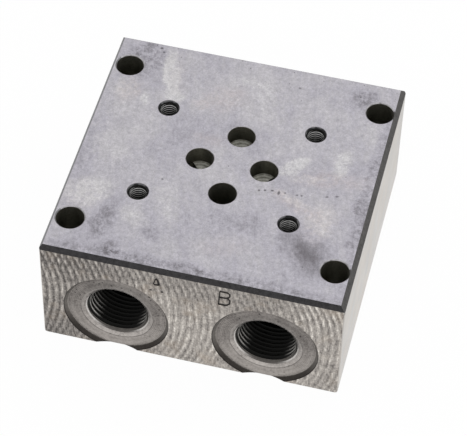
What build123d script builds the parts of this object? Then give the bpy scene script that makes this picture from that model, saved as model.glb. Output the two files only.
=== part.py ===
from build123d import *

import math
import os

# Hydraulic manifold block for one size 03 directional valve, cut from rectangular steel bar.
# Frame: X across the front ports, -Y the front face, +Z up to the valve face.
# Origin: middle of the base. All sizes in millimetres.

# Bar and edges
LENGTH = 80.0
WIDTH = 80.0
HEIGHT = 35.0
FRONT_BREAK = 1.15
RIGHT_BREAK = 1.3
LEFT_BREAK = 0.65
BACK_BREAK = 1.55
BAR_CORNER_RADIUS = 0.9
FRONT_END_BREAK = 0.25
BACK_END_BREAK = 1.0

# Mounting holes, straight through, measured from their front left one
MOUNT_FROM_LEFT = 4.85
MOUNT_FROM_FRONT = 11.65
MOUNT_HOLES = ((0.0, 0.0), (70.0, 0.0), (70.0, 57.0), (0.0, 57.0))
MOUNT_HOLE_DIAMETER = 7.5
MOUNT_HOLE_BREAK = 0.3

# Valve pattern, each place measured from its front left screw hole
PATTERN_FROM_LEFT = 19.35
PATTERN_FROM_FRONT = 24.65
SCREW_HOLES = ((0.0, 0.0), (40.5, -0.75), (40.5, 31.75), (0.0, 31.0))
SCREW_THREAD_DIAMETER = 5.0
SCREW_CORE_DIAMETER = 4.2
SCREW_THREAD_DEPTH = 8.0
SCREW_DRILL_DEPTH = 10.0
SCREW_SINK_DIAMETER = 5.9

VALVE_PORTS = {
    "a": (12.7, 15.5),
    "b": (30.2, 15.5),
    "p": (21.5, 25.9),
    "t": (21.5, 5.1),
}
VALVE_PORT_DIAMETER = 7.5
VALVE_PORT_BREAK = 0.15
VALVE_PORT_DEPTHS = {"a": 5.2, "b": 5.2, "p": 5.2, "t": 18.0}

# Side ports: G 3/8 parallel thread behind a spotface with a 45 degree wall and a flared mouth
PORT_HEIGHT = 13.1
SPOTFACE_DIAMETER = 28.5
SPOTFACE_DEPTH = 1.0
PORT_FLARE_DIAMETER = 19.6
PORT_FLARE_DEPTH = 0.5
PORT_THREAD_DIAMETER = 16.662
PORT_CORE_DIAMETER = 15.25
PORT_SINK_DIAMETER = 17.25
PORT_THREAD_DEPTH = 12.0
PORT_DRILL_DEPTH = 17.0

# Each side port's face (-1 front, +1 back) and its place along X
SIDE_PORTS = {
    "a": (-1, -20.0),
    "b": (-1, 20.0),
    "p": (1, 10.0),
    "t": (1, -20.0),
}

# Slanted drillings: where each point ends, in X and Y from its valve port's axis, and in height
DRILLING_DIAMETER = 6.0
DRILLING_MARGIN = 0.1
DRILLING_ENDS = {
    "a": (-2.8, 3.3, 29.4),
    "b": (2.0, 3.2, 29.6),
    "p": (-0.8, -2.6, 27.7),
    "t": (0.0, 0.0, 17.0),
}

POINT_ANGLE = 118.0
OVERSHOOT = 1.0


def point_length(radius):
    """Height of a drill point's cone."""
    return radius / math.tan(math.radians(POINT_ANGLE / 2))


def on_valve_face(from_left, from_front, place):
    """Location on the valve face of a place in a pattern that starts this far from the edges."""
    x, y = place
    return Pos(from_left + x - LENGTH / 2, from_front + y - WIDTH / 2, HEIGHT)


def in_valve_pattern(place):
    """Location on the valve face of a place in the valve pattern."""
    return on_valve_face(PATTERN_FROM_LEFT, PATTERN_FROM_FRONT, place)


def turned(*outline):
    """Solid of revolution about Z, from (radius, height) points closed along the axis."""
    points = [(radius, 0, height) for radius, height in outline]
    return revolve(make_face(Polyline(*points, close=True)), Axis.Z)


def drill(radius, depth, break_size):
    """Straight drilling below height 0, with a point, and a 45 degree break at its mouth."""
    return turned(
        (0, OVERSHOOT),
        (radius + break_size + OVERSHOOT, OVERSHOOT),
        (radius, -break_size),
        (radius, -depth),
        (0, -depth - point_length(radius)),
    )


def screw_hole():
    """Sunk and tapped hole below height 0, its wall at the thread's root, then the core drilling."""
    thread = SCREW_THREAD_DIAMETER / 2
    core = SCREW_CORE_DIAMETER / 2
    sink = SCREW_SINK_DIAMETER / 2
    return turned(
        (0, OVERSHOOT),
        (sink + OVERSHOOT, OVERSHOOT),
        (thread, thread - sink),
        (thread, -SCREW_THREAD_DEPTH),
        (core, -SCREW_THREAD_DEPTH),
        (core, -SCREW_DRILL_DEPTH),
        (0, -SCREW_DRILL_DEPTH - point_length(core)),
    )


def side_port():
    """Spotface, flare, sunk and tapped port below height 0, its wall at the thread's root."""
    rim = SPOTFACE_DIAMETER / 2
    flare = PORT_FLARE_DIAMETER / 2
    sink = PORT_SINK_DIAMETER / 2
    thread = PORT_THREAD_DIAMETER / 2
    core = PORT_CORE_DIAMETER / 2
    sink_top = -SPOTFACE_DEPTH - PORT_FLARE_DEPTH
    thread_end = -SPOTFACE_DEPTH - PORT_THREAD_DEPTH
    drill_end = -SPOTFACE_DEPTH - PORT_DRILL_DEPTH
    return turned(
        (0, OVERSHOOT),
        (rim + OVERSHOOT, OVERSHOOT),
        (rim - SPOTFACE_DEPTH, -SPOTFACE_DEPTH),
        (flare, -SPOTFACE_DEPTH),
        (sink, sink_top),
        (thread, sink_top + thread - sink),
        (thread, thread_end),
        (core, thread_end),
        (core, drill_end),
        (0, drill_end - point_length(core)),
    )


def port_plane(name):
    """Plane on the block's side at a side port, its normal pointing out."""
    side, x = SIDE_PORTS[name]
    return Plane(origin=(x, side * WIDTH / 2, PORT_HEIGHT), x_dir=(-side, 0, 0), z_dir=(0, side, 0))


def slanted_drilling(name):
    """Drilling from a side port's mouth to its valve port, leaning as far as the thread allows."""
    valve_port = in_valve_pattern(VALVE_PORTS[name]).position
    offset_x, offset_y, height = DRILLING_ENDS[name]
    end = Vector(valve_port.X + offset_x, valve_port.Y + offset_y, height)
    mouth = port_plane(name).origin
    across = Vector(end.X - mouth.X, 0, end.Z - mouth.Z).normalized()
    radius = DRILLING_DIAMETER / 2
    start = mouth - across * (PORT_CORE_DIAMETER / 2 - radius - DRILLING_MARGIN)
    length = (end - start).length
    cutter = turned((0, 0), (radius, 0), (radius, point_length(radius) - length), (0, -length))
    return Plane(origin=start, z_dir=start - end) * cutter


def top_edge_wedge(length, break_size):
    """Prism along Y that takes a 45 degree chamfer off a top edge lying at X = 0, material at -X."""
    outer = break_size + 2 * OVERSHOOT
    section = Polyline(
        (OVERSHOOT, 0, -break_size - OVERSHOOT),
        (OVERSHOOT, 0, OVERSHOOT),
        (-break_size - OVERSHOOT, 0, OVERSHOOT),
        close=True,
    )
    return extrude(make_face(section), length / 2 + outer, both=True)


def bar():
    """Piece of bar: rounded base sides, chamfered top edges, lightly broken ends."""
    block = extrude(Rectangle(LENGTH, WIDTH), HEIGHT)
    upright_edges = block.edges().filter_by(Axis.Z).group_by(Axis.Y)
    block = chamfer(upright_edges[0], FRONT_END_BREAK)
    upright_edges = block.edges().filter_by(Axis.Z).group_by(Axis.Y)
    block = chamfer(upright_edges[-1], BACK_END_BREAK)
    block = fillet(block.faces().sort_by(Axis.Z)[0].edges().filter_by(Axis.Y), BAR_CORNER_RADIUS)
    for turn, reach, span, size in (
        (0, LENGTH / 2, WIDTH, RIGHT_BREAK),
        (90, WIDTH / 2, LENGTH, BACK_BREAK),
        (180, LENGTH / 2, WIDTH, LEFT_BREAK),
        (270, WIDTH / 2, LENGTH, FRONT_BREAK),
    ):
        block -= Rot(0, 0, turn) * Pos(reach, 0, HEIGHT) * top_edge_wedge(span, size)
    return block


def cutters():
    """Every hole in the block, as the solid it removes."""
    mount_hole = drill(MOUNT_HOLE_DIAMETER / 2, HEIGHT + OVERSHOOT, MOUNT_HOLE_BREAK)
    holes = [on_valve_face(MOUNT_FROM_LEFT, MOUNT_FROM_FRONT, place) * mount_hole for place in MOUNT_HOLES]
    holes += [in_valve_pattern(place) * screw_hole() for place in SCREW_HOLES]
    for name, place in VALVE_PORTS.items():
        valve_port = drill(VALVE_PORT_DIAMETER / 2, VALVE_PORT_DEPTHS[name], VALVE_PORT_BREAK)
        holes += [in_valve_pattern(place) * valve_port]
        holes += [port_plane(name) * side_port()]
        holes += [slanted_drilling(name)]
    return holes


def manifold_block():
    """Bar with its mounting holes, valve pattern, side ports and the drillings that join them."""
    return bar() - cutters()


if __name__ == "__main__":
    os.makedirs("parts", exist_ok=True)
    export_step(manifold_block(), "parts/manifold_block.step")
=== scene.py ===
import math

import bmesh
import bpy
from mathutils import Matrix, Vector


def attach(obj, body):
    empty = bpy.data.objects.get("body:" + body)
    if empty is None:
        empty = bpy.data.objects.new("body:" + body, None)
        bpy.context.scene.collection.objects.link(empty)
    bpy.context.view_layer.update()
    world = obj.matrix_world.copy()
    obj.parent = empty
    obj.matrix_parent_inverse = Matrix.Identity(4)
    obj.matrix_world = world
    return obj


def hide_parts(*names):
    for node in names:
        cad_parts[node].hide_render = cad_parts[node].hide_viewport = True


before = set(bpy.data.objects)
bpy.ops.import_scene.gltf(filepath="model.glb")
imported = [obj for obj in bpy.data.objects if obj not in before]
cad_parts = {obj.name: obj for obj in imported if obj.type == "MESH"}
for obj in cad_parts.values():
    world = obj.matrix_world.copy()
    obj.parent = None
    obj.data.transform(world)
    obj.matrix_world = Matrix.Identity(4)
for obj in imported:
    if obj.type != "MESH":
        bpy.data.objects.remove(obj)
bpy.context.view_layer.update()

MM = 0.001

# The block, in millimetres, as in the part's source
HALF = 40.0
HEIGHT = 35.0
LARGEST_BREAK = 1.6
BAR_CORNER_REACH = 1.0

# Side ports: face (-1 front, +1 back) and place along X
SIDE_PORTS = {"a": (-1, -20.0), "b": (-1, 20.0), "p": (1, 10.0), "t": (1, -20.0)}
PORT_HEIGHT = 13.1
SPOTFACE_RADIUS = 14.25
SPOTFACE_DEPTH = 1.0
FLARE_RADIUS = 9.8
FLARE_DEPTH = 0.5
SINK_RADIUS = 8.625
PORT_THREAD_RADIUS = 8.331
PORT_CREST_RADIUS = 7.635
PORT_THREAD_DEPTH = 12.0
PORT_PITCH = 1.337

# Screw holes of the valve, M5
SCREW_HOLES = ((-20.65, -15.35), (19.85, -16.1), (19.85, 16.4), (-20.65, 15.65))
SCREW_SINK_RADIUS = 2.95
SCREW_THREAD_RADIUS = 2.5
SCREW_CREST_RADIUS = 2.11
SCREW_THREAD_DEPTH = 8.0
SCREW_PITCH = 0.8

# Valve ports and how deep their drill points begin
VALVE_PORTS = ((-7.95, 0.15), (9.55, 0.15), (0.85, 10.55), (0.85, -10.25))
VALVE_PORT_RADIUS = 3.75
VALVE_PORT_DEPTH = 5.2
DRILL_RING_PITCH = 0.75

# Strokes of the marks struck beside the front ports: the width left where one barely went in, as a
# share of the full width, and how far a stroke runs on past its ends
STROKE_HALF_WIDTH = 0.38
STROKE_DEPTH = 0.22
STROKE_CLEAR = 0.3
STROKE_LEAST_WIDTH = 0.15
STROKE_RUN_ON = 0.12

# For telling the block's faces apart: tolerances in millimetres, and how squarely the normal of a
# flat face points along an axis. Then the distance in metres within which the mesh's corners merge.
ON_FACE = 0.02
ON_RIM = 0.05
FLAT = 0.99
MERGE_DISTANCE = 1e-7

# Angles in degrees past which an edge stays sharp
BLOCK_SHARP_ANGLE = 32
THREAD_SHARP_ANGLE = 50

# Rings for each turn and segments for each ring of a thread's mesh
PORT_RINGS, PORT_SEGMENTS = 12, 96
SCREW_RINGS, SCREW_SEGMENTS = 10, 48

# A thread's ridge, as shares of half a pitch: its width at the root, and the run of each flank
RIDGE_WIDTH = 0.88
RIDGE_FLANK = 0.76
SLEEVE_THICKNESS = 0.03

# A length far larger than the block
FAR = 1000.0

# Stage and light, in metres and watts
FLOOR_SIZE = 3.0
FLOOR_DROP = 0.0002
FLOOR_GREY = 0.9
FLOOR_GLOW = 0.97
ROOM_LIGHT = 0.9
ROOM_WHITE = 1.0
LAMP_PLACE = (0.45, 0.35, 0.75)
LAMP_SIZE = 0.6
LAMP_POWER = 1.2

# Camera: its direction from what it aims at and its roll in degrees, then lengths in millimetres,
# and last the nearest distance that it sees, in metres
CAMERA_AZIMUTH, CAMERA_ELEVATION, CAMERA_ROLL = 12.6363, 49.3459, 1.8193
CAMERA_AIM = (2.389, -3.129, 17.5)
CAMERA_DISTANCE = 589.85
CAMERA_SENSOR = 36.0
CAMERA_LENS = 169.112
CAMERA_NEAREST = 0.01

WHITE = (1, 1, 1, 1)


def placed(name, data):
    """New object with this data, linked into the scene."""
    made = bpy.data.objects.new(name, data)
    bpy.context.scene.collection.objects.link(made)
    return made


def empty_tree(owner):
    """Nodes and links of a material's or a world's node tree, emptied."""
    owner.use_nodes = True
    owner.node_tree.nodes.clear()
    return owner.node_tree.nodes, owner.node_tree.links


# ---------------------------------------------------------------- material tools


def linear(r, g, b):
    """An sRGB colour from 0 to 255 as a linear RGBA tuple."""
    def one(v):
        v /= 255.0
        return v / 12.92 if v <= 0.04045 else ((v + 0.055) / 1.055) ** 2.4

    return one(r), one(g), one(b), 1.0


class Tree:
    """A material's node tree, with short calls for its nodes. Places are in millimetres."""

    def __init__(self, name, metallic=1.0):
        self.material = bpy.data.materials.new(name)
        self.nodes, self.links = empty_tree(self.material)
        self.shader = self.nodes.new("ShaderNodeBsdfPrincipled")
        output = self.nodes.new("ShaderNodeOutputMaterial")
        self.links.new(self.shader.outputs["BSDF"], output.inputs["Surface"])
        self.shader.inputs["Metallic"].default_value = metallic
        coordinates = self.nodes.new("ShaderNodeTexCoord")
        self.place = self.mapped(coordinates.outputs["Object"], scale=(1 / MM, 1 / MM, 1 / MM))
        self.x, self.y, self.z = self.split(self.place)

    def put(self, socket, value):
        if isinstance(value, bpy.types.NodeSocket):
            self.links.new(value, socket)
        else:
            socket.default_value = value

    def mapped(
        self, vector, scale=(1, 1, 1), location=(0, 0, 0), rotation=(0, 0, 0), kind="POINT"
    ):
        node = self.nodes.new("ShaderNodeMapping")
        node.vector_type = kind
        self.links.new(vector, node.inputs["Vector"])
        node.inputs["Scale"].default_value = scale
        node.inputs["Location"].default_value = location
        node.inputs["Rotation"].default_value = rotation
        return node.outputs[0]

    def split(self, vector):
        node = self.nodes.new("ShaderNodeSeparateXYZ")
        self.links.new(vector, node.inputs[0])
        return node.outputs

    def joined(self, x, y, z):
        node = self.nodes.new("ShaderNodeCombineXYZ")
        for socket, value in zip(node.inputs, (x, y, z)):
            self.put(socket, value)
        return node.outputs[0]

    def math(self, operation, a, b=0.0, c=0.0):
        node = self.nodes.new("ShaderNodeMath")
        node.operation = operation
        for socket, value in zip(node.inputs, (a, b, c)):
            self.put(socket, value)
        return node.outputs[0]

    def total(self, *values):
        result = values[0]
        for value in values[1:]:
            result = self.math("ADD", result, value)
        return result

    def times(self, a, b):
        return self.math("MULTIPLY", a, b)

    def noise(self, size, detail=3.0, rough=0.55, vector=None, distortion=0.0, seed=0.0):
        """Noise from 0 to 1 with blobs of about this size, in millimetres."""
        node = self.nodes.new("ShaderNodeTexNoise")
        node.noise_dimensions = "4D"
        node.inputs["W"].default_value = seed
        self.put(node.inputs["Vector"], vector or self.place)
        node.inputs["Scale"].default_value = 1.0 / size
        node.inputs["Detail"].default_value = detail
        node.inputs["Roughness"].default_value = rough
        node.inputs["Distortion"].default_value = distortion
        return node.outputs["Fac"]

    def step(self, value, low, high, to_low=0.0, to_high=1.0):
        """Smooth step from to_low at low to to_high at high."""
        node = self.nodes.new("ShaderNodeMapRange")
        node.interpolation_type = "SMOOTHSTEP"
        self.put(node.inputs["Value"], value)
        node.inputs["From Min"].default_value = low
        node.inputs["From Max"].default_value = high
        node.inputs["To Min"].default_value = to_low
        node.inputs["To Max"].default_value = to_high
        return node.outputs[0]

    def centred(self, value, reach):
        """A 0 to 1 value moved to run from -reach to +reach."""
        return self.math("MULTIPLY_ADD", value, 2 * reach, -reach)

    def ramp(self, factor, *stops):
        """Colour ramp through (position, colour) stops."""
        node = self.nodes.new("ShaderNodeValToRGB")
        elements = node.color_ramp.elements
        while len(elements) < len(stops):
            elements.new(0.5)
        for element, (position, colour) in zip(elements, stops):
            element.position = position
            element.color = colour
        self.put(node.inputs[0], factor)
        return node.outputs[0]

    def mix(self, factor, a, b, blend="MIX"):
        node = self.nodes.new("ShaderNodeMix")
        node.data_type = "RGBA"
        node.blend_type = blend
        colour_a, colour_b = [s for s in node.inputs if s.type == "RGBA"]
        self.put(node.inputs[0], factor)
        self.put(colour_a, a)
        self.put(colour_b, b)
        return next(s for s in node.outputs if s.type == "RGBA")

    def shade(self, colour, factor, low, high=255.0):
        """Colour dimmed by a grey that runs from low to high with factor."""
        grey = self.ramp(factor, (0.3, linear(low, low, low)), (0.7, linear(high, high, high)))
        return self.mix(1.0, colour, grey, "MULTIPLY")

    def blob(self, vector, x, y, length, width, turn, edge=0.5):
        """1 inside an ellipse of these half sizes, turned by degrees, fading out over edge."""
        local = self.mapped(
            vector,
            scale=(length, width, FAR),
            location=(x, y, 0),
            rotation=(0, 0, math.radians(turn)),
            kind="TEXTURE",
        )
        node = self.nodes.new("ShaderNodeVectorMath")
        node.operation = "LENGTH"
        self.links.new(local, node.inputs[0])
        return self.step(node.outputs["Value"], 1.0 - edge, 1.0 + edge, 1.0, 0.0)

    def blobs(self, vector, marks, edge=0.5):
        """Sum of the strengths of (x, y, length, width, turn, strength) marks."""
        return self.total(
            *[self.times(self.blob(vector, *shape, edge), strength) for *shape, strength in marks]
        )

    def pits(self, size, share, radius):
        """1 in small scattered pits: one in a share of the cells of this size."""
        node = self.nodes.new("ShaderNodeTexVoronoi")
        self.links.new(self.place, node.inputs["Vector"])
        node.inputs["Scale"].default_value = 1.0 / size
        colour = self.nodes.new("ShaderNodeSeparateColor")
        self.links.new(node.outputs["Color"], colour.inputs[0])
        chosen = self.math("LESS_THAN", colour.outputs[0], share)
        reach = radius / size
        near = self.step(node.outputs["Distance"], 0.6 * reach, 1.2 * reach, 1.0, 0.0)
        return self.times(chosen, near)

    def bump(self, height, distance, strength=1.0):
        node = self.nodes.new("ShaderNodeBump")
        node.inputs["Distance"].default_value = distance * MM
        node.inputs["Strength"].default_value = strength
        self.put(node.inputs["Height"], height)
        self.links.new(node.outputs[0], self.shader.inputs["Normal"])

    def finish(self, colour, texture, smooth, rough):
        """Set the colour, and a roughness that runs from smooth to rough with texture."""
        self.put(self.shader.inputs["Base Color"], colour)
        roughness = self.step(texture, 0.2, 0.8, smooth, rough)
        self.links.new(roughness, self.shader.inputs["Roughness"])
        return self.material


# ---------------------------------------------------------------- materials

# Stains on the valve face: middle, half length and half width in millimetres, turn in degrees and
# strength. The soft shades fade out slowly, and those with a strength below 0 make the face paler.
PALE_STAINS = (
    (-23.2, 28.5, 9.0, 2.1, -75, 1.05),
    (-19.8, 20.5, 2.2, 1.8, 0, 0.7),
    (-27.6, 18.0, 2.6, 0.9, -76, 0.6),
    (16.5, 3.6, 4.2, 1.9, 40, 1.1),
    (21.0, 0.5, 5.0, 1.2, 8, 0.45),
    (20.0, -8.0, 5.5, 1.4, -20, 0.45),
    (29.0, 8.0, 4.6, 2.2, 85, 0.7),
    (27.5, -14.0, 6.0, 3.2, 80, 0.45),
    (-33.0, -18.5, 6.0, 4.2, 30, 0.75),
    (-34.0, 20.0, 4.0, 3.0, 80, 0.35),
    (-20.0, -24.0, 5.0, 2.4, -30, 0.45),
    (-2.0, 30.0, 5.0, 2.0, 10, 0.3),
    (6.0, 24.0, 9.0, 4.0, -70, 0.25),
    (-12.0, -16.0, 8.0, 3.0, -75, 0.25),
    (33.0, 22.0, 6.0, 3.0, -80, 0.25),
)
WARM_STAINS = (
    (-33.0, 20.0, 4.5, 3.6, 80, 0.6),
    (-22.0, 29.0, 8.0, 2.5, -75, 0.25),
    (-6.5, 23.0, 5.5, 4.5, 30, 0.6),
    (-12.5, 19.0, 2.6, 1.5, 0, 0.6),
    (-7.5, 7.0, 4.5, 2.4, 10, 0.5),
    (28.0, 1.5, 9.5, 2.8, 10, 0.7),
    (20.0, -9.0, 7.0, 2.2, -25, 0.7),
    (27.5, -14.0, 6.5, 3.8, 80, 0.5),
    (-34.5, -20.0, 5.5, 4.5, 60, 0.2),
    (5.0, -28.0, 7.0, 3.0, 15, 0.3),
)
DARK_STAINS = (
    (-26.5, -27.0, 6.5, 2.8, 80, 0.5),
    (-22.0, -35.5, 3.0, 2.4, 0, 0.5),
    (-14.0, -28.5, 3.0, 1.6, -40, 0.45),
    (-32.0, 32.0, 7.0, 5.5, 60, 0.6),
    (30.5, 32.5, 4.0, 3.4, 0, 0.5),
    (-37.0, -2.0, 13.0, 2.4, 90, 0.3),
    (38.0, -4.0, 26.0, 2.4, 90, 0.5),
    (0.0, -38.5, 40.0, 2.6, 0, 0.55),
    (4.0, -20.0, 10.0, 4.0, 10, 0.25),
)
SOFT_SHADES = (
    (27.5, -24.0, 7.5, 4.2, -45, 1.10),
    (26.7, -24.7, 6.0, 1.8, -45, 0.40),
    (-30.0, 6.0, 9.0, 14.0, 0, -0.30),
    (-2.0, 31.0, 18.0, 6.0, 0, -0.20),
    (25.5, -30.0, 4.0, 2.6, 80, 0.35),
    (20.0, -21.5, 4.0, 1.5, -80, 0.35),
)
FACE_PITS = (
    (9.8, -6.8, 0.30, 0.30, 0, 1.0),
    (11.3, -6.4, 0.35, 0.30, 0, 1.0),
    (13.2, -6.0, 0.40, 0.30, 0, 1.0),
    (15.0, -6.4, 0.35, 0.65, 0, 1.0),
    (16.6, -6.0, 0.35, 0.30, 0, 0.8),
    (19.8, -5.9, 0.35, 0.30, 0, 0.8),
    (21.0, -5.8, 0.30, 0.30, 0, 0.8),
    (27.5, -4.5, 0.45, 0.30, 20, 0.8),
    (30.0, -3.7, 0.45, 0.30, 20, 0.8),
    (-28.4, 37.1, 0.40, 0.40, 0, 1.0),
    (-27.4, 35.7, 0.35, 0.35, 0, 0.9),
    (-15.6, -9.6, 0.35, 0.35, 0, 0.7),
    (11.9, 32.1, 0.35, 0.35, 0, 0.7),
)


# Lean of the valve face's streaks from the front-back direction, in degrees
STREAK_LEAN = -14


def valve_face_steel():
    """Cloudy lavender grey skin of the valve face: stains, slanting streaks, grain and pits."""
    t = Tree("valve_face_steel")

    # Stains get ragged outlines by being looked up a few millimetres aside
    wander = t.joined(
        t.centred(t.noise(4, detail=7, rough=0.75, seed=2.0), 4.0),
        t.centred(t.noise(4, detail=7, rough=0.75, seed=12.0), 4.0),
        0.0,
    )
    shift = t.nodes.new("ShaderNodeVectorMath")
    shift.operation = "ADD"
    t.links.new(t.place, shift.inputs[0])
    t.links.new(wander, shift.inputs[1])
    wavy = shift.outputs[0]

    leaning = t.mapped(t.place, rotation=(0, 0, math.radians(STREAK_LEAN)))
    long_streaks = t.mapped(leaning, scale=(1, 0.12, 1))
    streaks = t.noise(1.0, detail=5, rough=0.75, vector=long_streaks, seed=4.0)
    long_bands = t.mapped(leaning, scale=(1, 0.4, 1))
    bands = t.noise(7.0, detail=5, rough=0.65, vector=long_bands, seed=6.0)
    clouds = t.noise(12, detail=8, rough=0.66, distortion=0.3, seed=3.1)
    flakes = t.step(t.noise(1.3, detail=5, rough=0.75, seed=7.0), 0.38, 0.62, 0.30, 1.50)

    level = t.total(
        t.centred(clouds, 0.34),
        t.centred(bands, 0.22),
        t.centred(streaks, 0.24),
        t.times(t.times(t.blobs(wavy, PALE_STAINS), flakes), 0.46),
        t.times(t.times(t.blobs(wavy, DARK_STAINS), flakes), -0.44),
        t.times(t.blobs(wavy, SOFT_SHADES, 0.9), -0.34),
        0.60,
    )
    colour = t.ramp(
        level,
        (0.05, linear(126, 122, 127)),
        (0.30, linear(168, 165, 172)),
        (0.52, linear(199, 196, 205)),
        (0.72, linear(212, 209, 214)),
        (0.95, linear(228, 226, 228)),
    )
    warmth = t.times(t.blobs(wavy, WARM_STAINS), t.times(flakes, 0.42))
    colour = t.mix(t.math("MINIMUM", warmth, 1.0), colour, linear(216, 204, 204))
    mottle = t.noise(1.1, detail=5, rough=0.75, seed=1.7)
    colour = t.shade(colour, mottle, 216)
    grain = t.noise(0.32, detail=2, rough=0.6, seed=5.0)
    colour = t.shade(colour, grain, 226)
    back_edge = t.step(t.y, 24, 38)
    rare = t.pits(size=2.2, share=0.06, radius=0.2)
    crowded = t.times(t.pits(size=1.5, share=0.30, radius=0.18), back_edge)
    dots = t.math("MAXIMUM", rare, crowded)
    dots = t.math("MAXIMUM", dots, t.blobs(t.place, FACE_PITS))
    colour = t.mix(t.times(dots, 0.75), colour, linear(74, 72, 76))
    t.bump(t.total(t.times(grain, 0.5), mottle, t.times(dots, -2.0)), 0.02, 0.5)
    return t.finish(colour, mottle, 0.36, 0.48)


# Face mill: radius of its marks, height of its path and feed for each turn, in millimetres
MILL_RADIUS = 41.0
MILL_HEIGHT = 17.5
MILL_FEED = 1.8


def mill_marks(t, along, bend):
    """Marks of a face mill, 1 on them. The leading cut bends with 1, the trailing with -1."""
    rise = t.math("SUBTRACT", t.z, MILL_HEIGHT)
    reach = t.math("SQRT", t.math("SUBTRACT", MILL_RADIUS ** 2, t.times(rise, rise)))
    phase = t.times(t.math("SUBTRACT", along, t.times(reach, bend)), 2 * math.pi / MILL_FEED)
    feed = t.math("POWER", t.math("MULTIPLY_ADD", t.math("SINE", phase), 0.5, 0.5), 3.0)
    second = t.math("SINE", t.math("MULTIPLY_ADD", phase, 2.0, 1.1))
    insert = t.math("MULTIPLY_ADD", second, 0.5, 0.5)
    return t.total(t.times(feed, 0.72), t.times(insert, 0.28))


def milled_steel(name, seed):
    """Face-milled end of the bar: pale curved marks, broken by the trailing cut at top and base."""
    t = Tree(name)
    along = t.math("ADD", t.x, t.centred(t.noise(16, detail=1, seed=seed), 0.6))
    lead = mill_marks(t, along, 1.0)
    trail = mill_marks(t, along, -1.0)
    patchy = t.noise(8, detail=4, rough=0.65, seed=seed + 1)

    # Where the marks change: near the top and the base, toward the left, and in the upper right
    top = t.step(t.z, 22, 30)
    base = t.step(t.z, 3, 9, 1.0, 0.0)
    left = t.step(t.x, -34, -4, 1.0, 0.0)
    corner = t.times(t.step(t.x, 24, 33), top)

    # How far the trailing cut breaks the leading one's marks
    crossing = t.times(t.math("MAXIMUM", top, base), t.step(patchy, 0.35, 0.62, 0.25, 1.0))
    crossing = t.times(crossing, t.math("MULTIPLY_ADD", left, 0.55, 0.40))

    fine = t.mapped(t.place, scale=(1, 1, 0.2))
    broken = t.noise(0.50, detail=4, rough=0.75, vector=fine, seed=seed + 2)
    speckle = t.noise(0.6, detail=4, rough=0.75, seed=seed + 3)
    strength = t.step(t.noise(4, detail=4, rough=0.65, seed=seed + 4), 0.3, 0.7, 0.45, 1.15)
    stronger = t.total(
        0.50,
        t.times(left, 0.16),
        t.times(t.times(left, top), 0.60),
        t.times(corner, 0.55),
    )
    strength = t.times(strength, stronger)
    gaps = t.math("MULTIPLY_ADD", t.math("SUBTRACT", trail, 1.0), crossing, 1.0)
    marks = t.times(t.times(lead, gaps), strength)
    level = t.total(
        marks,
        t.centred(broken, 0.95),
        t.centred(speckle, 0.62),
        t.centred(patchy, 0.22),
        t.times(top, -0.12),
        t.times(left, -0.26),
        0.45,
    )
    colour = t.ramp(
        level,
        (0.05, linear(86, 82, 79)),
        (0.32, linear(134, 129, 125)),
        (0.60, linear(172, 166, 160)),
        (0.80, linear(196, 190, 183)),
        (1.00, linear(232, 227, 219)),
    )
    warm = t.step(t.noise(6, detail=4, rough=0.65, seed=seed + 6), 0.5, 0.7)
    colour = t.mix(t.times(warm, 0.30), colour, linear(168, 152, 134))
    t.bump(t.total(marks, t.times(broken, 0.4)), 0.05, 0.5)
    return t.finish(colour, broken, 0.34, 0.5)


def drawn_steel():
    """Clean drawn surface of the bar's sides and base: pale, faintly streaked along its length."""
    t = Tree("drawn_steel")
    drawn_out = t.mapped(t.place, scale=(1, 0.05, 1))
    streaks = t.noise(1.2, detail=4, rough=0.65, vector=drawn_out, seed=2.2)
    clouds = t.noise(7, detail=4, rough=0.65, seed=6.6)
    colour = t.ramp(
        t.total(t.times(clouds, 0.6), t.times(streaks, 0.4)),
        (0.3, linear(176, 173, 170)),
        (0.7, linear(205, 202, 198)),
    )
    tint = t.noise(5, detail=2, vector=t.mapped(t.place, scale=(1, 0.7, 0.5)), seed=9.6)
    colour = t.mix(t.step(tint, 0.35, 0.65, 0.0, 0.3), colour, linear(205, 190, 172))
    upright = t.mapped(t.place, scale=(1, 1, 0.4))
    uneven = t.noise(2.0, detail=4, rough=0.7, vector=upright, seed=3.0)
    ragged = t.total(t.z, t.centred(uneven, 2.4))
    by_top_edge = t.step(ragged, HEIGHT - 2.4, HEIGHT - 1.4, 0.0, 0.6)
    colour = t.mix(by_top_edge, colour, linear(112, 109, 106))
    t.bump(streaks, 0.02, 0.4)
    return t.finish(colour, streaks, 0.3, 0.42)


def shaded_edge_steel(name, dark, light):
    """Chamfer along a top edge: dark scaly finish deepened by painted shade, toned for how light
    falls on its side.
    """
    t = Tree(name, metallic=0.8)
    mottle = t.noise(0.9, detail=4, rough=0.7, seed=4.4)
    colour = t.ramp(mottle, (0.3, dark), (0.75, light))
    t.bump(mottle, 0.03, 0.5)
    return t.finish(colour, mottle, 0.42, 0.58)


def off_axis(t, along, across, places):
    """Distance from the nearest of some axes and how far to one side of it, in millimetres."""
    nearest, beside = None, None
    for place, height, here in places:
        du = t.math("SUBTRACT", along, place)
        dv = t.math("SUBTRACT", across, height)
        away = t.math("MULTIPLY_ADD", here, -FAR, FAR)
        radius = t.math("ADD", t.math("SQRT", t.total(t.times(du, du), t.times(dv, dv))), away)
        sideways = t.math("ADD", t.math("ABSOLUTE", du), away)
        nearest = radius if nearest is None else t.math("MINIMUM", nearest, radius)
        beside = sideways if beside is None else t.math("MINIMUM", beside, sideways)
    return nearest, beside


def off_port(t):
    """Distance from the nearest side port's axis, and how far to its left or right."""
    places = []
    for side, port_x in SIDE_PORTS.values():
        here = t.math("GREATER_THAN", t.times(t.y, side), 0.0)
        places.append((port_x, PORT_HEIGHT, here))
    return off_axis(t, t.x, t.z, places)


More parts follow.
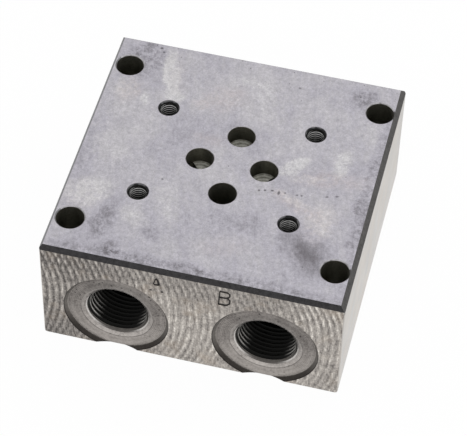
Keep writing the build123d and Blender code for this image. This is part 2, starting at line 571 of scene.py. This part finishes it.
def off_hole(t, holes):
    """Distance from the nearest of these upright holes' axes, and how far to its left or right."""
    return off_axis(t, t.x, t.y, [(x, y, 1.0) for x, y in holes])


def turned_steel(name, dark, light, pitch, roughness=0.4):
    """Turned surface round a side port: fine uneven rings and small pits, painted light brightening
    it toward the base, and a painted shadow along the flare's edge.
    """
    t = Tree(name)
    uneven = t.centred(t.noise(7, detail=2, seed=1.2), 0.25)
    radius = t.math("ADD", off_port(t)[0], uneven)
    rings = t.math("SINE", t.times(radius, 2 * math.pi / pitch))
    wide_rings = t.math("SINE", t.times(radius, 2 * math.pi / (4.3 * pitch)))
    speckle = t.noise(0.6, detail=4, rough=0.75, seed=7.7)
    clouds = t.noise(5, detail=5, rough=0.65, seed=9.9)
    # Painted light: the surface grows brighter toward the base
    painted_light_toward_base = t.step(t.z, 2.0, 18.0, 0.34, 0.0)
    level = t.total(
        t.centred(clouds, 0.36),
        t.centred(speckle, 0.62),
        t.times(rings, 0.08),
        t.times(wide_rings, 0.05),
        painted_light_toward_base,
        0.37,
    )
    colour = t.ramp(level, (0.1, dark), (0.9, light))
    # Painted shadow: a dark line in the crease at the flare's edge, strongest low down
    from_edge = t.math("ABSOLUTE", t.math("SUBTRACT", radius, FLARE_RADIUS))
    painted_crease_shadow = t.times(t.step(from_edge, 0.05, 0.25, 0.45, 0.0), t.step(t.z, 8.0, 18.0, 1.0, 0.2))
    colour = t.mix(painted_crease_shadow, colour, linear(60, 56, 54))
    upper = t.step(t.z, 12, 22, 0.35, 1.0)
    dots = t.times(t.pits(size=1.25, share=0.42, radius=0.28), upper)
    colour = t.mix(t.times(dots, 0.95), colour, linear(44, 40, 38))
    t.bump(t.total(t.times(rings, 0.5), speckle, t.times(dots, -1.5)), 0.015, 0.5)
    return t.finish(colour, speckle, roughness - 0.05, roughness + 0.08)


def spotface_wall_steel():
    """Slanted wall of a spotface: painted shade darkens it toward the base and at its rim, and a
    painted highlight makes it pale along its foot.
    """
    t = Tree("spotface_wall_steel")
    radius = off_port(t)[0]
    speckle = t.noise(0.6, detail=3, rough=0.65, seed=7.7)
    # Painted shade: darker toward the base, and darkest at the rim
    colour = t.mix(t.step(t.z, 4.0, 15.0), linear(66, 62, 59), linear(128, 123, 118))
    shaded_rim = t.step(radius, SPOTFACE_RADIUS - 0.35, SPOTFACE_RADIUS - 0.05, 0.0, 0.8)
    colour = t.mix(shaded_rim, colour, linear(46, 43, 42))
    # Painted highlight: pale along the foot of the wall, most of all high up
    foot = SPOTFACE_RADIUS - SPOTFACE_DEPTH
    inner = t.times(t.step(radius, foot, foot + 0.25, 1.0, 0.0), t.step(t.z, 8.0, 14.0, 0.1, 0.8))
    colour = t.mix(inner, colour, linear(186, 180, 174))
    colour = t.shade(colour, speckle, 205)
    t.bump(speckle, 0.02, 0.5)
    return t.finish(colour, speckle, 0.36, 0.48)


def port_sink_steel():
    """Sunk edge of a side port: a painted highlight makes it bright at its sides and top, and
    painted shade dulls it toward the base.
    """
    t = Tree("port_sink_steel")
    speckle = t.noise(0.6, detail=3, rough=0.65, seed=7.7)
    # Painted light: dull low down, bright higher round the ring
    colour = t.mix(t.step(t.z, 4.8, 8.0), linear(98, 94, 91), linear(214, 210, 206))
    colour = t.shade(colour, speckle, 215)
    t.bump(speckle, 0.02, 0.5)
    return t.finish(colour, speckle, 0.3, 0.4)


def bored_steel(name, light, dark, dark_at, from_top, metallic=0.9, roughness=0.42):
    """Drilled wall with a dark greasy tone, darker with depth as painted shade: light at its mouth,
    dark this far in.
    """
    t = Tree(name, metallic=metallic)
    if from_top:
        depth = t.math("SUBTRACT", HEIGHT, t.z)
    else:
        depth = t.math("SUBTRACT", HALF, t.math("ABSOLUTE", t.y))
    marks = t.noise(0.5, detail=3, rough=0.6, seed=3.3)
    # Painted shade: how far in the wall darkens, wavering a little
    oil_and_shade = t.math("ADD", depth, t.centred(t.noise(2.0, detail=2, seed=6.1), 0.8))
    colour = t.mix(t.step(oil_and_shade, dark_at[0], dark_at[1]), light, dark)
    colour = t.shade(colour, marks, 205)
    t.bump(marks, 0.02, 0.4)
    return t.finish(colour, marks, roughness - 0.06, roughness + 0.08)


def drill_point_steel():
    """Bottom of a valve port: the drill's rings and greasy blotches, with a painted highlight in
    the middle and painted shade toward the wall.
    """
    t = Tree("drill_point_steel")
    radius = off_hole(t, VALVE_PORTS)[0]
    rings = t.math("SINE", t.times(radius, 2 * math.pi / DRILL_RING_PITCH))
    oil_and_shade = t.noise(1.2, detail=4, rough=0.7, seed=2.9)
    # Painted light: the last term brightens the middle and shades toward the wall
    level = t.total(t.times(rings, 0.12), oil_and_shade, t.step(radius, 0.3, 3.2, 0.35, -0.25))
    colour = t.ramp(
        level,
        (0.1, linear(84, 83, 76)),
        (0.5, linear(142, 141, 134)),
        (0.95, linear(214, 212, 204)),
    )
    t.bump(rings, 0.02, 0.5)
    return t.finish(colour, oil_and_shade, 0.34, 0.44)


def pipe_thread_steel():
    """Thread of a side port: pale ridges at its sides near the mouth as painted light, all else
    black as painted shade.
    """
    t = Tree("pipe_thread_steel")
    radius, beside = off_port(t)
    depth = t.math("SUBTRACT", HALF - SPOTFACE_DEPTH, t.math("ABSOLUTE", t.y))
    # Painted light: ridges pale only at the port's sides and near its mouth
    ridge = t.step(radius, PORT_CREST_RADIUS + 0.02, PORT_CREST_RADIUS + 0.32, 1.0, 0.0)
    at_sides = t.step(beside, 4.4, 7.4)
    near_mouth = t.step(depth, 2.5, 10.0, 1.0, 0.0)
    pale = t.times(ridge, t.times(at_sides, near_mouth))
    marks = t.noise(0.6, detail=3, rough=0.65, seed=3.3)
    colour = t.mix(pale, linear(22, 22, 20), linear(206, 203, 198))
    # Little gloss between the pale ridges, so the painted shade there stays black
    t.put(t.shader.inputs["Metallic"], t.math("MAXIMUM", pale, 0.15))
    t.shader.inputs["Specular IOR Level"].default_value = 0.1
    # Painted light on the first turn of the thread, strongest low down
    lit_first_turn = t.times(t.step(depth, 1.15, 1.5, 1.0, 0.0), t.step(t.z, 6.0, 14.0, 0.95, 0.35))
    colour = t.mix(lit_first_turn, colour, linear(104, 100, 96))
    colour = t.shade(colour, marks, 205)
    t.bump(marks, 0.02, 0.4)
    return t.finish(colour, marks, 0.28, 0.4)


def screw_thread_steel():
    """Thread of a screw hole: pale ridges as painted light, dimming with depth, with painted shade
    between them.
    """
    t = Tree("screw_thread_steel")
    radius = off_hole(t, SCREW_HOLES)[0]
    depth = t.math("SUBTRACT", HEIGHT, t.z)
    ridge = t.step(radius, SCREW_CREST_RADIUS + 0.02, SCREW_CREST_RADIUS + 0.18, 1.0, 0.0)
    marks = t.noise(0.5, detail=3, rough=0.65, seed=3.3)
    # Painted light on the ridges, dimming with depth; painted shade between them
    pale = t.mix(t.step(depth, 1.0, 6.0), linear(226, 225, 224), linear(150, 149, 148))
    colour = t.mix(ridge, linear(26, 26, 25), pale)
    colour = t.shade(colour, marks, 200)
    t.bump(marks, 0.02, 0.4)
    return t.finish(colour, marks, 0.28, 0.4)


# Bored surfaces name the depths between which their first colour gives way to the second
MATERIALS = {
    "valve_face": valve_face_steel(),
    "front": milled_steel("front_milled_steel", 1.0),
    "back": milled_steel("back_milled_steel", 14.0),
    "drawn": drawn_steel(),
    # The chamfers carry painted shade: darkest at the front, lighter on the right, lightest on the
    # left
    "front_edge": shaded_edge_steel("front_edge_steel", linear(40, 39, 40), linear(72, 71, 72)),
    "right_edge": shaded_edge_steel("right_edge_steel", linear(64, 63, 62), linear(100, 98, 97)),
    "left_edge": shaded_edge_steel("left_edge_steel", linear(110, 110, 112), linear(146, 146, 147)),
    "spotface": turned_steel("spotface_steel", linear(90, 85, 82), linear(174, 168, 163), 0.45),
    "spotface_wall": spotface_wall_steel(),
    "flare": turned_steel(
        "port_flare_steel", linear(98, 93, 90), linear(192, 186, 181), 0.35, roughness=0.34
    ),
    "mouth": port_sink_steel(),
    "port": bored_steel("port_steel", linear(40, 40, 38), linear(26, 26, 24), (2.0, 7.0), False),
    "hole": bored_steel(
        "drilled_steel", linear(142, 140, 128), linear(134, 132, 119), (0.5, 6.0), True
    ),
    "point": drill_point_steel(),
    # Painted shade: the screw holes' sunk edges darken inward
    "sink": bored_steel(
        "sunk_edge_steel", linear(120, 119, 121), linear(44, 44, 45), (0.0, 0.3), True
    ),
    # Painted highlight: the holes' rims are pale as a glint, dimming inward
    "rim": bored_steel(
        "hole_rim_steel", linear(196, 194, 197), linear(120, 118, 119), (0.1, 0.6), True
    ),
    # Painted shade: the struck marks are dark in their grooves
    "stamp": bored_steel(
        "stamped_mark_steel", linear(52, 48, 46), linear(30, 27, 26), (0.0, 0.3), False,
        metallic=0.6, roughness=0.5,
    ),
}


# ---------------------------------------------------------------- the block


def port_surface(x, z, depth, normal):
    """Surface of a side port that a face belongs to, or None. Depth is how far in it lies."""
    radius = math.hypot(x, z - PORT_HEIGHT)
    floor = SPOTFACE_DEPTH + ON_FACE
    flared = floor + FLARE_DEPTH
    sunk = flared + SINK_RADIUS - PORT_THREAD_RADIUS
    if depth < ON_FACE or radius > SPOTFACE_RADIUS + ON_RIM:
        return None
    if depth < floor and radius > FLARE_RADIUS - ON_RIM:
        return "spotface" if abs(normal.y) > FLAT else "spotface_wall"
    if depth < flared and radius > SINK_RADIUS - ON_RIM:
        return "flare"
    if depth < sunk and radius > PORT_THREAD_RADIUS - ON_RIM:
        return "mouth"
    return None


def surface_of(centre, normal):
    """Which surface of the block a face belongs to, from its middle and normal in millimetres."""
    x, y, z = centre
    side = 1 if y > 0 else -1
    depth = HALF - side * y
    beside = HALF - abs(x)
    if z > HEIGHT - ON_FACE and normal.z > FLAT:
        return "valve_face"
    for port_side, port_x in SIDE_PORTS.values():
        if port_side == side:
            found = port_surface(x - port_x, z, depth, normal)
            if found:
                return found
    on_base = normal.z < -0.2 and z < ON_FACE
    at_corner = beside < BAR_CORNER_REACH and z < BAR_CORNER_REACH
    if on_base or beside < ON_FACE or at_corner:
        return "drawn"
    if depth < ON_FACE:
        return "front" if side < 0 else "back"
    if abs(normal.z) < 0.01 and beside < BAR_CORNER_REACH and depth < BAR_CORNER_REACH:
        return "drawn"
    if 0.6 < normal.z < 0.8 and z > HEIGHT - LARGEST_BREAK:
        if depth < LARGEST_BREAK and abs(normal.y) > 0.6:
            return "front_edge"
        if beside < LARGEST_BREAK and abs(normal.x) > 0.6:
            return "right_edge" if x > 0 else "left_edge"
        for hole_x, hole_y in SCREW_HOLES:
            if math.hypot(x - hole_x, y - hole_y) < SCREW_SINK_RADIUS:
                return "sink"
        return "rim"
    if depth < STROKE_DEPTH + 0.1 and z > HEIGHT / 2:
        return "stamp"
    for port_x, port_y in VALVE_PORTS:
        near = math.hypot(x - port_x, y - port_y) < VALVE_PORT_RADIUS - ON_RIM
        if near and normal.z > 0.8 and z > HEIGHT - VALVE_PORT_DEPTH - VALVE_PORT_RADIUS:
            return "point"
    in_port = any(
        port_side == side and math.hypot(x - port_x, z - PORT_HEIGHT) < PORT_THREAD_RADIUS + ON_RIM
        for port_side, port_x in SIDE_PORTS.values()
    )
    return "port" if in_port and depth < HALF / 2 else "hole"


# Marks struck beside the front ports: strokes in X and Z on the front face, with the share of the
# full depth that each end went in. The A's legs were struck too lightly to show between their ends.
LETTER_A = (
    ((-9.10, 31.85), (-8.75, 31.60), 0.70, 0.85),
    ((-8.75, 31.60), (-8.35, 30.40), 0.85, 0.80),
    ((-8.35, 30.40), (-8.35, 29.50), 0.80, 1.00),
    ((-9.55, 29.35), (-8.35, 29.50), 0.80, 1.00),
    ((-9.15, 31.70), (-9.75, 29.40), 0.42, 0.34),
    ((-10.50, 27.10), (-10.35, 26.75), 0.75, 0.85),
    ((-7.50, 27.15), (-7.35, 26.75), 0.75, 0.85),
)
LETTER_B = (
    ((7.75, 32.15), (7.45, 26.90), 0.36, 0.50),
    ((7.75, 32.15), (9.75, 32.10), 0.95, 0.95),
    ((9.75, 32.10), (10.35, 31.50), 0.80, 0.60),
    ((10.35, 31.50), (10.30, 30.60), 0.60, 0.60),
    ((10.30, 30.60), (9.70, 29.85), 0.60, 0.90),
    ((9.70, 29.85), (7.80, 29.75), 0.95, 1.00),
    ((9.70, 29.85), (10.40, 29.10), 0.80, 0.60),
    ((10.40, 29.10), (10.30, 27.80), 0.60, 0.55),
    ((10.30, 27.80), (9.40, 26.95), 0.55, 0.90),
    ((9.40, 26.95), (7.40, 26.90), 1.00, 1.00),
)


def stroke_cutter(start, end, start_depth, end_depth):
    """Wedge-bottomed prism that sinks one stroke of a struck mark into the front face."""
    a = Vector((start[0], 0.0, start[1]))
    b = Vector((end[0], 0.0, end[1]))
    run = (b - a).normalized()
    side = Vector((-run.z, 0.0, run.x))
    outside = Vector((0.0, -HALF - STROKE_CLEAR, 0.0))
    corners = []
    for point, sign, share in ((a, -1, start_depth), (b, 1, end_depth)):
        depth = share * STROKE_DEPTH
        wide = STROKE_LEAST_WIDTH + (1 - STROKE_LEAST_WIDTH) * share
        width = side * STROKE_HALF_WIDTH * wide
        tip = point + run * sign * STROKE_RUN_ON
        flare = (depth + STROKE_CLEAR) / depth
        ridge = Vector((0.0, depth - HALF, 0.0))
        corners += [tip + width * flare + outside, tip - width * flare + outside, point + ridge]
    mesh = bpy.data.meshes.new("stroke")
    faces = ((0, 2, 1), (3, 4, 5), (0, 1, 4, 3), (1, 2, 5, 4), (2, 0, 3, 5))
    mesh.from_pydata([corner * MM for corner in corners], [], faces)
    with_normals_out(mesh)
    return placed("stroke", mesh)


def with_normals_out(mesh):
    """Turn every face of a closed mesh outward."""
    made = bmesh.new()
    made.from_mesh(mesh)
    bmesh.ops.recalc_face_normals(made, faces=made.faces)
    made.to_mesh(mesh)
    made.free()


def cut(target, cutter):
    """Subtract cutter from target's mesh and delete it."""
    modifier = target.modifiers.new("cut", "BOOLEAN")
    modifier.operation = "DIFFERENCE"
    modifier.solver = "EXACT"
    modifier.object = cutter
    bpy.context.view_layer.update()
    evaluated = target.evaluated_get(bpy.context.evaluated_depsgraph_get())
    mesh = bpy.data.meshes.new_from_object(evaluated)
    target.modifiers.clear()
    target.data = mesh
    bpy.data.objects.remove(cutter)


CURVED_SURFACES = {"spotface_wall", "flare", "mouth", "port", "hole", "point", "sink", "rim"}


def build_block():
    """The block itself: the CAD solid, its struck marks, and a material for each surface."""
    made = bmesh.new()
    made.from_mesh(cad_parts["manifold_block"].data)
    bmesh.ops.remove_doubles(made, verts=made.verts, dist=MERGE_DISTANCE)
    mesh = bpy.data.meshes.new("block_body")
    made.to_mesh(mesh)
    made.free()
    if "custom_normal" in mesh.attributes:
        mesh.attributes.remove(mesh.attributes["custom_normal"])
    mesh.materials.clear()
    block = placed("block_body", mesh)
    for stroke in LETTER_A + LETTER_B:
        cut(block, stroke_cutter(*stroke))
    mesh = block.data
    mesh.name = "block_body"
    mesh.materials.clear()
    names = list(MATERIALS)
    for name in names:
        mesh.materials.append(MATERIALS[name])
    for polygon in mesh.polygons:
        name = surface_of(polygon.center / MM, polygon.normal)
        polygon.material_index = names.index(name)
        rounded = polygon.center.z < BAR_CORNER_REACH * MM
        polygon.use_smooth = name in CURVED_SURFACES or rounded
    mesh.set_sharp_from_angle(angle=math.radians(BLOCK_SHARP_ANGLE))
    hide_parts("manifold_block")
    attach(block, "root")


# ---------------------------------------------------------------- threads


def ridge_height(phase):
    """Height of an inside thread's ridge at a phase of its pitch, 0 at its root, 1 at its crest."""
    distance = abs(phase - 0.5) * 2
    return min(1.0, max(0.0, (RIDGE_WIDTH - distance) / RIDGE_FLANK))


def build_thread(name, mouth, inward, root, crest, pitch, cone, depth, rings, segments, material):
    """Inside thread as a closed sleeve, its ridges cut back at the mouth by the hole's sink.

    mouth is the middle of the hole's mouth and inward its axis, both in millimetres. The sink's
    cone has the radius cone at the mouth and is 45 degrees steep. The thread ends at depth.
    """
    inward = Vector(inward)
    u = inward.orthogonal().normalized()
    v = inward.cross(u)
    mouth = Vector(mouth)
    shell = root + SLEEVE_THICKNESS
    start = cone - root

    def at(radius, angle, distance):
        outward = u * math.cos(angle) + v * math.sin(angle)
        return (mouth + inward * distance + outward * radius) * MM

    vertices, faces = [], []
    length = depth - start
    steps = int(round(length / pitch * rings))
    for i in range(steps + 1):
        distance = start + length * i / steps
        for j in range(segments):
            phase = ((distance - start) / pitch + j / segments) % 1.0
            radius = root - (root - crest) * ridge_height(phase)
            radius = max(radius, cone - distance)
            vertices.append(at(radius, 2 * math.pi * j / segments, distance))
    inner = len(vertices)
    for distance in (start, depth):
        for j in range(segments):
            vertices.append(at(shell, 2 * math.pi * j / segments, distance))
    last = steps * segments
    for j in range(segments):
        k = (j + 1) % segments
        for i in range(steps):
            a, b = i * segments, (i + 1) * segments
            faces.append((a + j, a + k, b + k, b + j))
        faces.append((inner + j, inner + k, k, j))
        faces.append((last + j, last + k, inner + segments + k, inner + segments + j))
        faces.append((inner + segments + j, inner + segments + k, inner + k, inner + j))
    mesh = bpy.data.meshes.new(name)
    mesh.from_pydata(vertices, [], faces)
    with_normals_out(mesh)
    mesh.materials.append(material)
    for polygon in mesh.polygons:
        polygon.use_smooth = True
    mesh.set_sharp_from_angle(angle=math.radians(THREAD_SHARP_ANGLE))
    sleeve = placed(name, mesh)
    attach(sleeve, "root")


def build_threads():
    """G 3/8 threads in the side ports and M5 threads in the valve's screw holes."""
    pipe = pipe_thread_steel()
    screw = screw_thread_steel()
    cone = SINK_RADIUS + FLARE_DEPTH
    for name, (side, x) in SIDE_PORTS.items():
        mouth = (x, side * (HALF - SPOTFACE_DEPTH), PORT_HEIGHT)
        build_thread(
            f"thread_{name}", mouth, (0, -side, 0), PORT_THREAD_RADIUS, PORT_CREST_RADIUS,
            PORT_PITCH, cone, PORT_THREAD_DEPTH, PORT_RINGS, PORT_SEGMENTS, pipe,
        )
    for number, (x, y) in enumerate(SCREW_HOLES, 1):
        build_thread(
            f"thread_f{number}", (x, y, HEIGHT), (0, 0, -1), SCREW_THREAD_RADIUS,
            SCREW_CREST_RADIUS, SCREW_PITCH, SCREW_SINK_RADIUS, SCREW_THREAD_DEPTH,
            SCREW_RINGS, SCREW_SEGMENTS, screw,
        )


# ---------------------------------------------------------------- stage


def camera_and_gloss(nodes, links):
    """1 on camera rays and on reflected or refracted ones, 0 on those that only carry light."""
    path = nodes.new("ShaderNodeLightPath")
    value = path.outputs["Is Camera Ray"]
    for name in ("Is Glossy Ray", "Is Transmission Ray"):
        largest = nodes.new("ShaderNodeMath")
        largest.operation = "MAXIMUM"
        links.new(value, largest.inputs[0])
        links.new(path.outputs[name], largest.inputs[1])
        value = largest.outputs[0]
    return value


def build_floor():
    """Plain pale floor under the block, white where it is seen, with the block's soft shadow."""
    mesh = bpy.data.meshes.new("floor")
    corners = [(x * FLOOR_SIZE, y * FLOOR_SIZE, 0) for x, y in ((-1, -1), (1, -1), (1, 1), (-1, 1))]
    mesh.from_pydata(corners, [], [(0, 1, 2, 3)])
    floor = placed("floor", mesh)
    floor.location.z = -FLOOR_DROP
    material = bpy.data.materials.new("floor_white")
    nodes, links = empty_tree(material)
    diffuse = nodes.new("ShaderNodeBsdfDiffuse")
    diffuse.inputs["Color"].default_value = (FLOOR_GREY, FLOOR_GREY, FLOOR_GREY, 1)
    glow = nodes.new("ShaderNodeEmission")
    glow.inputs["Color"].default_value = WHITE
    share = nodes.new("ShaderNodeMath")
    share.operation = "MULTIPLY"
    share.inputs[1].default_value = FLOOR_GLOW
    mix = nodes.new("ShaderNodeMixShader")
    output = nodes.new("ShaderNodeOutputMaterial")
    links.new(camera_and_gloss(nodes, links), share.inputs[0])
    links.new(share.outputs[0], mix.inputs[0])
    links.new(diffuse.outputs[0], mix.inputs[1])
    links.new(glow.outputs[0], mix.inputs[2])
    links.new(mix.outputs[0], output.inputs[0])
    mesh.materials.append(material)


def build_light():
    """Soft even light: a white room, and one large lamp above and behind on the right."""
    world = bpy.data.worlds.new("studio")
    bpy.context.scene.world = world
    nodes, links = empty_tree(world)
    light = nodes.new("ShaderNodeBackground")
    light.inputs["Color"].default_value = WHITE
    light.inputs["Strength"].default_value = ROOM_LIGHT
    white = nodes.new("ShaderNodeBackground")
    white.inputs["Color"].default_value = WHITE
    white.inputs["Strength"].default_value = ROOM_WHITE
    mix = nodes.new("ShaderNodeMixShader")
    output = nodes.new("ShaderNodeOutputWorld")
    links.new(camera_and_gloss(nodes, links), mix.inputs[0])
    links.new(light.outputs[0], mix.inputs[1])
    links.new(white.outputs[0], mix.inputs[2])
    links.new(mix.outputs[0], output.inputs[0])
    data = bpy.data.lights.new("key", "AREA")
    data.shape = "DISK"
    data.size = LAMP_SIZE
    data.energy = LAMP_POWER
    lamp = placed("key", data)
    lamp.location = LAMP_PLACE
    lamp.rotation_mode = "QUATERNION"
    lamp.rotation_quaternion = (-lamp.location).to_track_quat("-Z", "Y")


def build_camera():
    """Long lens, from above and a little to the right of the front."""
    azimuth = math.radians(CAMERA_AZIMUTH)
    elevation = math.radians(CAMERA_ELEVATION)
    back = Vector((
        math.sin(azimuth) * math.cos(elevation),
        -math.cos(azimuth) * math.cos(elevation),
        math.sin(elevation),
    ))
    data = bpy.data.cameras.new("camera")
    data.sensor_width = CAMERA_SENSOR
    data.lens = CAMERA_LENS
    data.clip_start = CAMERA_NEAREST
    camera = placed("camera", data)
    level = (-back).to_track_quat("-Z", "Y").to_matrix().to_4x4()
    turn = level @ Matrix.Rotation(math.radians(CAMERA_ROLL), 4, "Z")
    place = Vector(CAMERA_AIM) * MM + back * (CAMERA_DISTANCE * MM)
    camera.matrix_world = Matrix.Translation(place) @ turn
    bpy.context.scene.camera = camera


build_block()
build_threads()
build_floor()
build_light()
build_camera()
bpy.context.scene.view_settings.view_transform = "Standard"
